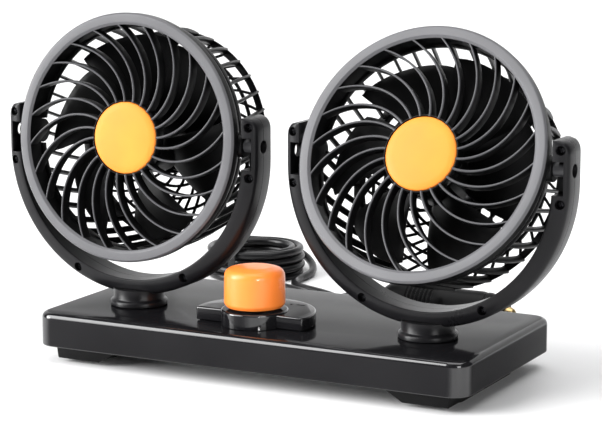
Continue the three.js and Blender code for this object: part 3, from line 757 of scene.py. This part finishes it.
def make_grille(side):
    at = head_frame(side)
    outline = [(RING_INNER_R, COLLAR_BACK), (COLLAR_R - 0.3, COLLAR_BACK), (COLLAR_R, COLLAR_BACK + 0.4),
               (COLLAR_R, 5.0, 0.5), (RING_R, 7.0, 0.6), (RING_R, 11.0, 0.5), (57.2, RING_FRONT, 0.7),
               (53.6, RING_FRONT, 0.5), (RING_INNER_R, 11.2, 0.5)]
    profile = rounded(outline, 4)
    count = len(profile)
    # The front band's spans take the grey painted sheen; the other spans stay black.
    front = [k for k in range(count) if profile[k][1] > 10.9 and profile[(k + 1) % count][1] > 10.9]
    ring = turned(f"guard_ring_{side}", profile, ["cage_black", "grille_grey"], 160, turn_front, True, at,
                  lambda k: 1 if k in front else 0)
    hub_line = [(0, 7), (16.4, 7), (16.4, 5), (HUB_R - 0.2, 5), (HUB_R, 5.2), (HUB_R, 10.6),
                (HUB_R - 0.25, 10.85), (17.15, 10.85), (17, 10.7), (17, 9), (0, 9)]
    hub = turned("hub", hub_line, ["cage_black"], 96, turn_front, at=at)
    points, faces = gather(spoke_mesh(SPOKE_PHASE[side] + 2 * math.pi * i / SPOKES) for i in range(SPOKES))
    # The front-edge faces take the painted sheen; the end caps stay black.
    sheen_faces = (list(SPOKE_PAINTED_SHEEN) * SPOKE_STATIONS + [0, 0]) * SPOKES
    vanes = mesh_piece("vanes", points, faces, ["cage_black", "spoke_edge"], at, sheen_faces, 50)
    # The trunnion: a boss on the ring and the pin that the yoke's arm holds
    boss_end, pin_r, pin_end = 58.4, 3, 64.4
    line = [(0, 52.5), (BOSS_R, 52.5), (BOSS_R, boss_end - 0.4), (BOSS_R - 0.4, boss_end), (pin_r, boss_end),
            (pin_r, pin_end - 0.8), (pin_r - 0.3, pin_end - 0.2), (pin_r - 0.8, pin_end), (0, pin_end)]
    # The pin ends take the grey painted sheen.
    pins = [turned("pin", [(r, sign * x) for r, x in line], ["cage_black", "grille_grey"], 40, turn_side,
                   at=at, pick=lambda k: 1 if k > 3 else 0) for sign in (-1, 1)]
    piece = join(f"guard_front_{side}", [ring, hub, vanes, *pins], 45)
    finish_piece(piece, f"head_{side}", "grille_grey", f"front_grille_{side}")
    cap_line = [(0, 9.3), (CAP_R - 0.3, 9.3), (CAP_R, 9.5), (CAP_R, 10.3), (CAP_R - 0.25, 10.75),
                (15.9, 11.12), (13, 11.4), (10, 11.6), (5, 11.82), (0, 11.9)]
    cap = turned(f"centre_cap_{side}", cap_line, ["cap_yellow"], 96, turn_front, at=at, sharp=60)
    finish_piece(cap, f"head_{side}", "cap_yellow", f"grille_cap_{side}")


def bar_between(start, end, width, depth, outward, steps=1, bow=0.0):
    """A rounded bar along a straight (or slightly bowed) line, as points and faces."""
    along = (end - start).normalized()
    out = (outward - along * outward.dot(along)).normalized()
    across = out.cross(along)
    h, c = 0.5, 0.26
    section = [(-c, -h), (c, -h), (h, -c), (h, c), (c, h), (-c, h), (-h, c), (-h, -c)]
    points = []
    for i in range(steps + 1):
        t = i / steps
        middle = start.lerp(end, t) + out * bow * math.sin(math.pi * t)
        points += [tuple(middle + across * u * width + out * v * depth) for u, v in section]
    return points, tube_faces(steps + 1, len(section))


def front_point(radius, angle, forward):
    return Vector(turn_front(radius, angle, forward))


def back_bar(inner, start):
    """A flat bar of the back grille, curling round as it runs in to a ring or to the middle plate."""
    parts, steps, curl, depth, lap = [], 5, 0.85, -35.2, 0.06
    for k in range(steps):
        radii = [BACK_BAR_R + (inner - BACK_BAR_R) * t / steps for t in (k, k + 1 + lap)]
        ends = [front_point(r, start + curl * math.log(BACK_BAR_R / r), depth) for r in radii]
        parts.append(bar_between(*ends, 1.25, 1.6, Vector((0, 1, 0))))
    return gather(parts)


def make_cage(side):
    at = head_frame(side)

    def hoop(name, line, steps, segments):
        return turned(name, rounded(line, steps), ["cage_black"], segments, turn_front, True, at)

    rim_back, rim_front, rim_r = COLLAR_BACK - 3.4, COLLAR_BACK - 0.3, 51.6
    rim = hoop("rim", [(rim_r, rim_back, 0.5), (COLLAR_R, rim_back, 0.5), (COLLAR_R, rim_front, 0.3),
                       (rim_r, rim_front, 0.3)], 3, 144)
    cut(rim, [bore(BOSS_R + 0.5, x, x + 12, turn_side, at) for x in (-62, 50)])
    back = hoop("back", [(46.2, CAGE_BACK + 0.3, 0.5), (49.0, CAGE_BACK + 0.3, 0.9), (51.3, -33.0, 0.5),
                         (BACK_BAR_R, -33.0, 0.4)], 3, 144)
    plate_line = [(0, CAGE_BACK + 0.8), (13, CAGE_BACK + 0.8), (14, CAGE_BACK + 0.2), (17.4, CAGE_BACK),
                  (18, CAGE_BACK + 0.5), (18, -30.9), (17.6, -30.5), (14.1, -30.5), (14.1, -33.2), (0, -33.2)]
    plate = turned("plate", plate_line, ["cage_black"], 96, turn_front, at=at)
    rings = [hoop("ring", [(r - 0.7, -36.0, 0.3), (r + 0.7, -36.0, 0.3), (r + 0.7, -34.4, 0.3),
                           (r - 0.7, -34.4, 0.3)], 2, 96) for r in BACK_RINGS]
    bars = []
    for i in range(CAGE_BARS):
        a = 2 * math.pi * i / CAGE_BARS
        top = rim_back + 0.8
        # A side bar at a trunnion starts behind its boss.
        start = top if abs(math.sin(a)) * CAGE_RIM_R > BOSS_R + 1.5 else -BOSS_R - 1
        lean = BAR_LEAN * (top - start) / 32
        ends = front_point(CAGE_RIM_R, a + lean, start), front_point(CAGE_BACK_R, a + BAR_LEAN, -34.2)
        bars.append(bar_between(*ends, 1.5, 3.2, front_point(1, a + BAR_LEAN / 2, 0), 8, 0.9))
        bars.append(back_bar(BACK_RINGS[1] if i % 2 else 17.0, a + BAR_LEAN))
    points, faces = gather(bars)
    lattice = mesh_piece("lattice", points, faces, ["cage_black"], at, None, 50)
    piece = join(f"guard_rear_{side}", [rim, back, plate, *rings, lattice], 45)
    finish_piece(piece, f"head_{side}", "cage_black", f"rear_cage_{side}")


def blade_at(radius, column):
    """The blade table's value at a radius, carried straight on past its last row."""
    for low, high in zip(BLADE_TABLE, BLADE_TABLE[1:]):
        if radius <= high[0] or high is BLADE_TABLE[-1]:
            t = (radius - low[0]) / (high[0] - low[0])
            return low[column] * (1 - t) + high[column] * t


def blade_mesh(start):
    """One twisted blade between two skins, with a rounded outline and thin edges."""
    rows, cols = 20, 22
    points, faces = [], []
    for sign in (1, -1):
        for i in range(rows + 1):
            for j in range(cols + 1):
                v = -0.5 + j / cols
                u = i / rows
                reach = 1 - 0.05 * (abs(v) * 2) ** 4
                r = BLADE_ROOT_R + (BLADE_R - BLADE_ROOT_R) * u * reach
                a = start + blade_at(r, 1) * v + 0.006 * (r - 16)
                edge = min(1.0, (0.5 - abs(v)) * 9 + 0.25) * min(1.0, (1 - u) * 12 + 0.3)
                f = -8 + blade_at(r, 2) * v - 3 * (0.25 - v * v) + sign * BLADE_THICK / 2 * edge
                points.append(turn_front(r, a, f))
    n = cols + 1
    sheet = (rows + 1) * n
    for i in range(rows):
        for j in range(cols):
            a, b, c, d = i * n + j, i * n + j + 1, (i + 1) * n + j + 1, (i + 1) * n + j
            faces += [(a, b, c, d), (sheet + a, sheet + d, sheet + c, sheet + b)]
    border = [i for i in range(n)] + [i * n + cols for i in range(1, rows + 1)]
    border += [rows * n + cols - j for j in range(1, n)] + [(rows - i) * n for i in range(1, rows)]
    for a, b in zip(border, border[1:] + border[:1]):
        faces.append((a, a + sheet, b + sheet, b))
    return points, faces


def make_rotor(side):
    at = head_frame(side)
    cup_line = [(0, 1.2), (1.5, 1.2), (1.5, -3.4), (3.6, -3.4), (3.6, -1), (15.2, -1), (15.2, -17),
                (16.8, -17), (ROTOR_HUB_R, -16.8), (ROTOR_HUB_R, 1.2), (16.6, 2.2), (15.8, 2.8), (14.8, 3),
                (0, 3)]
    cup = turned("cup", cup_line, ["dark_plastic"], 96, turn_front, at=at)
    points, faces = gather(blade_mesh(ROTOR_TURN[side] + 2 * math.pi * i / BLADES) for i in range(BLADES))
    blades = mesh_piece("blades", points, faces, ["dark_plastic"], at, None, 50)
    piece = join(f"propeller_{side}", [cup, blades], 50)
    finish_piece(piece, f"rotor_{side}", "dark_plastic", f"fan_rotor_{side}")


def make_motor(side):
    line = [(0, -31), (1.5, -31), (1.5, -4.8), (1.7, -4.6), (4.0, -4.6), (4.2, -4.8), (4.2, -6), (12.3, -6),
            (13.2, -6.4), (13.8, -7.4), (13.8, -12), (13.55, -12.3), (13.55, -13.2), (13.8, -13.5),
            (13.8, -32.3), (13.4, -32.8), (0, -32.8)]
    can = turned(f"motor_can_{side}", line, ["steel"], 72, turn_front, at=head_frame(side))
    finish_piece(can, f"head_{side}", "steel", f"motor_{side}")


# ---- Yokes ---------------------------------------------------------------------------------------


def yoke_stations():
    """Inner and outer points of the fork in the XZ plane, from the left arm's top to the right arm's."""
    arm_steps, bend_steps, tip, tip_in = 25, 112, 6.5, 5
    arm = []
    for k in range(arm_steps):
        z = YOKE_TOP - (YOKE_TOP + YOKE_DROP) * k / arm_steps
        rise = max(0.0, (z - (YOKE_TOP - tip)) / tip)
        outer = YOKE_OUTER_R - tip_in * (1 - math.sqrt(max(0.0, 1 - rise ** 2.4)))
        arm.append((Vector((YOKE_INNER_R, z)), Vector((outer, z))))
    pairs = [(Vector((-i.x, i.y)), Vector((-o.x, o.y))) for i, o in arm]
    centre = Vector((0, -YOKE_DROP))
    for k in range(bend_steps + 1):
        a = math.pi + math.pi * k / bend_steps
        way = Vector((math.cos(a), math.sin(a)))
        pairs.append((way * YOKE_INNER_R + centre, way * YOKE_OUTER_R + centre))
    return pairs + list(reversed(arm))


def fork_section(front, back):
    """One half of the fork in section: how far out through its thickness, and the depth."""
    if front > 0:
        return [(0.0, front), (0.0, back - 0.5), (0.05, back - 0.1), (0.1, back), (0.72, back),
                (0.88, back - 0.3), (0.96, back - 0.9), (1.0, back - 1.9), (1.0, front)]
    lean = 0.9  # how far the front face falls back towards the outside
    return [(0.0, back), (0.0, front + 0.5), (0.035, front + 0.14), (0.09, front), (0.45, front + lean * 0.3),
            (0.74, front + lean), (0.87, front + lean * 1.35 + 0.25), (0.955, front + lean * 1.6 + 0.9),
            (1.0, front + lean * 1.6 + 2.0), (1.0, back)]


def fork_shell(name, at, front, back):
    section, pairs = fork_section(front, back), yoke_stations()
    points = []
    for inner, outer in pairs:
        for out, y in section:
            x, z = inner.lerp(outer, out)
            points.append((x, y, z))
    return mesh_piece(name, points, tube_faces(len(pairs), len(section)), ["yoke_black"], at, None, 38)


def screw_places():
    middle = (YOKE_INNER_R + YOKE_OUTER_R) / 2
    upper_z, lower_z = 9.4, -13.8
    angles = math.radians(-27), math.radians(27)
    bottom = [(middle * math.sin(a), -YOKE_DROP - middle * math.cos(a)) for a in angles]
    return [(-middle, upper_z), (middle, upper_z), (-middle, lower_z), (middle, lower_z), *bottom]


def make_yoke(side):
    at = Matrix.Translation(pivot(side))
    neck_top = box_mm(f"swivel_neck_{side}")[1].z - PIVOT_Z
    seam, pin_room, screw_room = 0.12, 3.12, 1.3
    for kind, front, back in (("front", -YOKE_HALF, -seam), ("rear", seam, YOKE_HALF)):
        shell = fork_shell(f"fork_{kind}_{side}", at, front, back)
        tools = [bore(NECK_R + 0.3, -100, neck_top + 0.3, turn_up, at, 48)]
        tools.append(bore(pin_room, -80, 80, turn_side, at))
        tools += [bore(3.9, sign * 61.6, sign * 65, turn_side, at) for sign in (-1, 1)]
        if kind == "front":
            for x0, x1 in ((-65, -59), (59, 65)):
                outline = [(x0, -10), (x1, -10), (x1, 4.6), (x0, 4.6)]
                tools.append(prism("cutter", outline, -20, 3, ["yoke_black"], to_front, at))
        for x, z in screw_places():
            hole = at @ stand(x, 0, z)
            if kind == "front":
                line = [(0, 20), (2.35, 20), (2.35, 8.4), (2.1, 8.15), (2.1, 4.6), (screw_room, 4.6),
                        (screw_room, -2), (0, -2)]
                tools.append(cutter(line, turn_front, hole))
            else:
                tools.append(bore(screw_room, -6.2, 2, turn_front, hole, 24))
        cut(shell, tools)
        finish_piece(shell, f"yoke_{side}", "yoke_black", f"yoke_{kind}_{side}")
    for i, (x, z) in enumerate(screw_places(), 1):
        place = at @ stand(x, -4.9, z) @ Matrix.Rotation(math.pi / 2, 4, "X")
        piece = screw(f"fork_screw_{side}_{i}", 1.75, 1.3, 0.95, 9.5, place, "black_steel")
        finish_piece(piece, f"yoke_{side}", "steel", f"yoke_screw_{side}_{i}")


def make_neck(side):
    low, high = box_mm(f"swivel_neck_{side}")
    bore_r, bore_top = 1.6, 28
    line = [(bore_r, low.z), (6, low.z), (6, 24.1), (13.2, 24.1), (13.5, 24.4), (13.5, 26.0), (13.2, 26.5),
            (12.8, 26.8), (NECK_R + 0.25, 27.1), (NECK_R, 27.5), (NECK_R, high.z), (0, high.z), (0, bore_top),
            (bore_r, bore_top)]
    at = stand(pivot(side).x, SWIVEL_Y)
    piece = turned(f"turning_neck_{side}", line, ["yoke_black"], closed=True, at=at)
    finish_piece(piece, f"yoke_{side}", "yoke_black", f"swivel_neck_{side}")


# ---- Cord, coil and plug -------------------------------------------------------------------------


def catmull(points, per_span=8):
    """Points along a smooth line through the given ones."""
    ps = [Vector(p) for p in points]
    ps = [ps[0] * 2 - ps[1], *ps, ps[-1] * 2 - ps[-2]]
    out = []
    for i in range(1, len(ps) - 2):
        for k in range(per_span):
            t = k / per_span
            a, b, c, d = ps[i - 1], ps[i], ps[i + 1], ps[i + 2]
            square, cube = 2 * a - 5 * b + 4 * c - d, 3 * b - a - 3 * c + d
            out.append(0.5 * (2 * b + (c - a) * t + square * t * t + cube * t ** 3))
    out.append(ps[-2])
    return out


def coil_points():
    """Four layers wound clockwise, in and out by turns, then a run down the outside to the floor."""
    inner, outer, rise = 17.6, 26.5, 2 * CORD_R + 0.12
    layers, beside = 4, 2 * CORD_R + 0.25
    climb, run_down = math.radians(90), math.radians(150)
    total = COIL_TURNS * 2 * math.pi
    layer = (total - run_down) / layers
    points = []
    steps = int(COIL_TURNS * 24)
    for i in range(steps + 1):
        angle = total * i / steps
        wound = min(angle, total - run_down) / layer
        level = min(layers - 1, int(wound))
        part = wound - level
        radius = outer + (inner - outer) * (part if level % 2 == 0 else 1 - part)
        nearest = max(1, min(layers - 1, round(wound)))
        height = nearest - 1 + smooth((angle - nearest * layer) / climb + 0.5)
        if angle > total - run_down:
            # Round the outside of the top turns first, then down beside them.
            t = (angle - total + run_down) / run_down
            over, down = smooth(t / 0.42), smooth((t - 0.2) / 0.8)
            radius += beside * over
            height = 3 - 0.45 * over - 2.55 * down
        phi = -math.pi / 2 - angle
        place = COIL.x + radius * math.cos(phi), COIL.y + radius * math.sin(phi), CORD_R + 0.1 + rise * height
        points.append(Vector(place))
    return points


def smooth(t):
    t = min(1.0, max(0.0, t))
    return t * t * (3 - 2 * t)


def cord_route():
    low = CORD_R + 0.1
    lead = [tuple(EXIT), (EXIT.x, 60, EXIT.z), (EXIT.x, 69, 15.0), (-36.6, 78, 11.2), (-37.4, 86, 7.0),
            (-38.8, 94, 3.6), (-41.2, 103, 2.3)]
    to_coil = ((-45, 112), (-51.5, 122.5), (-60, 130.5), (-70, 136.3), (-81, 140.5), (-91.5, 143.6),
               (-101.5, 145.3))
    from_coil = ((-80.9, 163), (-79.2, 154.5), (-74.6, 147.2), (-67.2, 142), (-58, 138.2), (-48, 133))
    tail = [(-39.8, 126.6, low + 0.2), (-34.2, 118.2, low + 1.6), (-29.6, 110.4, PLUG.z - 4.6),
            (-24.4, 104.2, PLUG.z - 1.7), (-17.8, 100.9, PLUG.z - 0.4), (-10, 100, PLUG.z), (0, 100, PLUG.z),
            (7, 100, PLUG.z)]
    lead += [(x, y, low) for x, y in to_coil]
    tail = [(x, y, low) for x, y in from_coil] + tail
    return [Vector(p) for p in lead] + coil_points() + [Vector(p) for p in tail]


def make_cord():
    points = cord_route()
    data = bpy.data.curves.new("flex", "CURVE")
    data.dimensions = "3D"
    data.bevel_depth = CORD_R * MM
    data.bevel_resolution = 5
    data.resolution_u = 6
    data.use_fill_caps = True
    spline = data.splines.new("BEZIER")
    spline.bezier_points.add(len(points) - 1)
    for spot, p in zip(spline.bezier_points, points):
        spot.co = p * MM
        spot.handle_left_type = spot.handle_right_type = "AUTO"
    obj = new_object("flex", data)
    data.materials.append(MATERIALS["cord_skin"])
    finish_piece(obj, "base", "cord_skin", "cord_lead", "cord_coil", "cord_tail")
    # Handles on AUTO bow a little outside the straight chords, so the length is summed on the smooth line.
    fine = catmull(points, 6)
    length = sum((b - a).length for a, b in zip(fine, fine[1:])) * MM
    return obj, length


def make_relief():
    back, inner, neck = BASE_HIGH.y, CORD_R + 0.15, 4
    line = [(inner, -4.4), (5.2, -4.4), (5.2, -2.9), (neck, -2.9), (neck, 0.3), (5.3, 0.3), (5.6, 0.6),
            (5.6, 1.8), (5.1, 2.3)]
    # Ribs with gaps between let the sleeve bend.
    for k in range(6):
        y, r = 2.6 + k * 2.2, 4.3 - 0.16 * k
        line += [(r - 0.75, y), (r, y + 0.25), (r, y + 1.3), (r - 0.75, y + 1.6)]
    line += [(3.1, 16), (inner, 16)]
    profile = [(r, -back - y) for r, y in line]
    sleeve = turned("sleeve", profile, ["pad_rubber"], 48, turn_front, True, stand(EXIT.x, 0, EXIT.z))
    return finish_piece(sleeve, "base", "pad_rubber", "strain_relief")


def make_tie():
    """A flat strap round the bundle on its near side, with a locking block on top."""
    y0, y1, z0, z1 = COIL.y - 29.9, COIL.y - 14.4, 0.02, 18.4
    width, thick = 4.4, 0.75
    long, high, centre = y1 - y0, z1 - z0, ((y0 + y1) / 2, (z0 + z1) / 2)
    outer = rounded_rect(long, high, 4.2, 8, centre)
    inner = rounded_rect(long - 2 * thick, high - 2 * thick, 3.5, 8, centre)
    n = len(outer)
    points = [(COIL.x + x, y, z) for x in (-width / 2, width / 2) for y, z in outer + inner]
    faces = []
    for i in range(n):
        j = (i + 1) % n
        faces += [(i, j, 2 * n + j, 2 * n + i), (n + j, n + i, 3 * n + i, 3 * n + j), (j, i, n + i, n + j),
                  (2 * n + i, 2 * n + j, 3 * n + j, 3 * n + i)]
    strap = mesh_piece("strap", points, faces, ["pad_rubber"])
    y = centre[0] - 1
    lock, end = rounded_rect(5.4, 5.0, 0.8, 4, (COIL.x, y)), rounded_rect(3.4, 9.0, 0.8, 4, (COIL.x, y + 5.5))
    head = prism("head", lock, z1 - 0.3, z1 + 3.2, ["pad_rubber"])
    tail = prism("tail", end, z1 + 1.2, z1 + 2.1, ["pad_rubber"])
    piece = join("bundle_tie", [bevel(strap, 0.15, 2), bevel(head, 0.4, 2), bevel(tail, 0.2, 2)])
    return finish_piece(piece, "base", "pad_rubber", "coil_tie")


def make_plug():
    at = Matrix.Translation(PLUG)
    inner, grip_r, nose_r = CORD_R + 0.15, 10.6, 9.7
    body = [(inner, -46), (3.2, -46), (3.5, -45.6)]
    for k in range(5):
        x, r = -44.6 + k * 2.3, 3.6 + 0.13 * k
        body += [(r, x), (r, x + 1.2), (r - 0.6, x + 1.4), (r - 0.6, x + 2.1)]
    body += [(4.6, -33), (5.4, -32), (7.6, -30.6), (9.2, -28.2), (10, -26), (10.45, -23), (grip_r, -20)]
    for k in range(7):
        x = -17 + k * 2.2
        body += [(grip_r, x), (grip_r - 0.4, x + 0.3), (grip_r - 0.4, x + 1.1), (grip_r, x + 1.4)]
    body += [(grip_r, 1.4), (10.3, 2.4), (9.9, 3.4), (nose_r, 4.2), (nose_r, 21.6), (9.4, 23), (9, 24),
             (6.8, 24), (6.8, -24), (inner, -24)]
    shell = turned("plug_shell", body, ["dark_plastic"], 96, turn_side, True, at)
    finish_piece(shell, "base", "dark_plastic", "plug_body")
    ring_line = [(4, 24.3), (9.1, 24.3), (9.4, 24.6), (9.4, 26), (9.0, 27.4), (6.9, 34.0), (6.4, 34.5),
                 (4, 34.5)]
    ring = turned("plug_ring", ring_line, ["dark_plastic"], 96, turn_side, True, at)
    finish_piece(ring, "base", "dark_plastic", "plug_nose_ring")
    tip_line = [(0, 18), (5.4, 18), (5.6, 18.2), (5.6, 20.8), (5.3, 21.1), (3.4, 22), (3.4, 35.6), (3.1, 37),
                (2.3, 38.4), (1.2, 39.2), (0, 39.4)]
    tip = turned("plug_pin", tip_line, ["contact_brass"], 64, turn_side, at=at, sharp=50)
    finish_piece(tip, "plug_contact", "contact_brass", "plug_tip")
    return [shell, ring, tip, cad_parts["plug_fuse"]]


# ---- Nodes kept from the CAD model ---------------------------------------------------------------


KEPT_SLOTS = {
    "base_plate": "dark_plastic",
    "switch_body": "dark_plastic",
    "switch_shaft": "steel",
    "switch_nut": "steel",
    "circuit_board": "circuit_green",
    "speed_resistor": "resistor_ceramic",
    "swivel_screw": "steel",
    "motor_lead": "cord_skin",
    "motor_shaft": "steel",
    "plug_fuse": "steel",
}


def finish_kept_nodes():
    for name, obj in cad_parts.items():
        if obj.hide_render:
            continue
        slot = KEPT_SLOTS[name.removesuffix("_left").removesuffix("_right")]
        obj.data.materials.clear()
        obj.data.materials.append(MATERIALS[slot])
        smooth_faces(obj.data)


# ---- Floor ---------------------------------------------------------------------------------------


def make_floor():
    """A pale floor that curves up into a wall far behind the object."""
    n = Nodes("floor")
    n.surface({
        "Base Color": n.blend(n.noise(0.002, 3.0), (0.9, 0.9, 0.905, 1), (0.93, 0.93, 0.93, 1)),
        "Roughness": n.scaled(n.noise(0.02, 3.0), 0.55, 0.7),
        "Normal": n.bump(n.noise(0.5, 4.0), 0.02, 0.3),
    })
    wide, near, back, curve, lift = 3500.0, -3000.0, 1500.0, 700, 2500.0
    angles = [math.pi / 2 * k / 16 for k in range(1, 17)]
    rows = [(near, 0.0), (back, 0.0)]
    rows += [(back + curve * math.sin(a), curve * (1 - math.cos(a))) for a in angles]
    rows.append((back + curve, lift))
    points = [Vector((x, y, z)) * MM for y, z in rows for x in (-wide, wide)]
    faces = [(2 * k, 2 * k + 1, 2 * k + 3, 2 * k + 2) for k in range(len(rows) - 1)]
    mesh = bpy.data.meshes.new("sweep")
    mesh.from_pydata(points, [], faces)
    mesh.materials.append(n.material)
    mesh.polygons.foreach_set("use_smooth", [True] * len(mesh.polygons))
    sweep = new_object("sweep", mesh)
    sweep.rotation_euler = (0, 0, AZIMUTH)
    sweep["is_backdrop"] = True


# ---- Scene ---------------------------------------------------------------------------------------

MATERIALS = make_materials()

make_camera()
cord, cord_length = make_cord()
relief, tie = make_relief(), make_tie()
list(make_plug())
make_base_cover()
make_feet()
make_base_screws()
make_plinth()
make_knob()
for side in SIDES:
    make_grille(side)
    make_cage(side)
    make_rotor(side)
    make_motor(side)
    make_yoke(side)
    make_neck(side)
finish_kept_nodes()
make_lights()
make_floor()

as_lists = lambda bounds: [[float(v) for v in corner] for corner in bounds]
{"cad": as_lists(CAD_BOX), "visual": as_lists(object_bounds())}
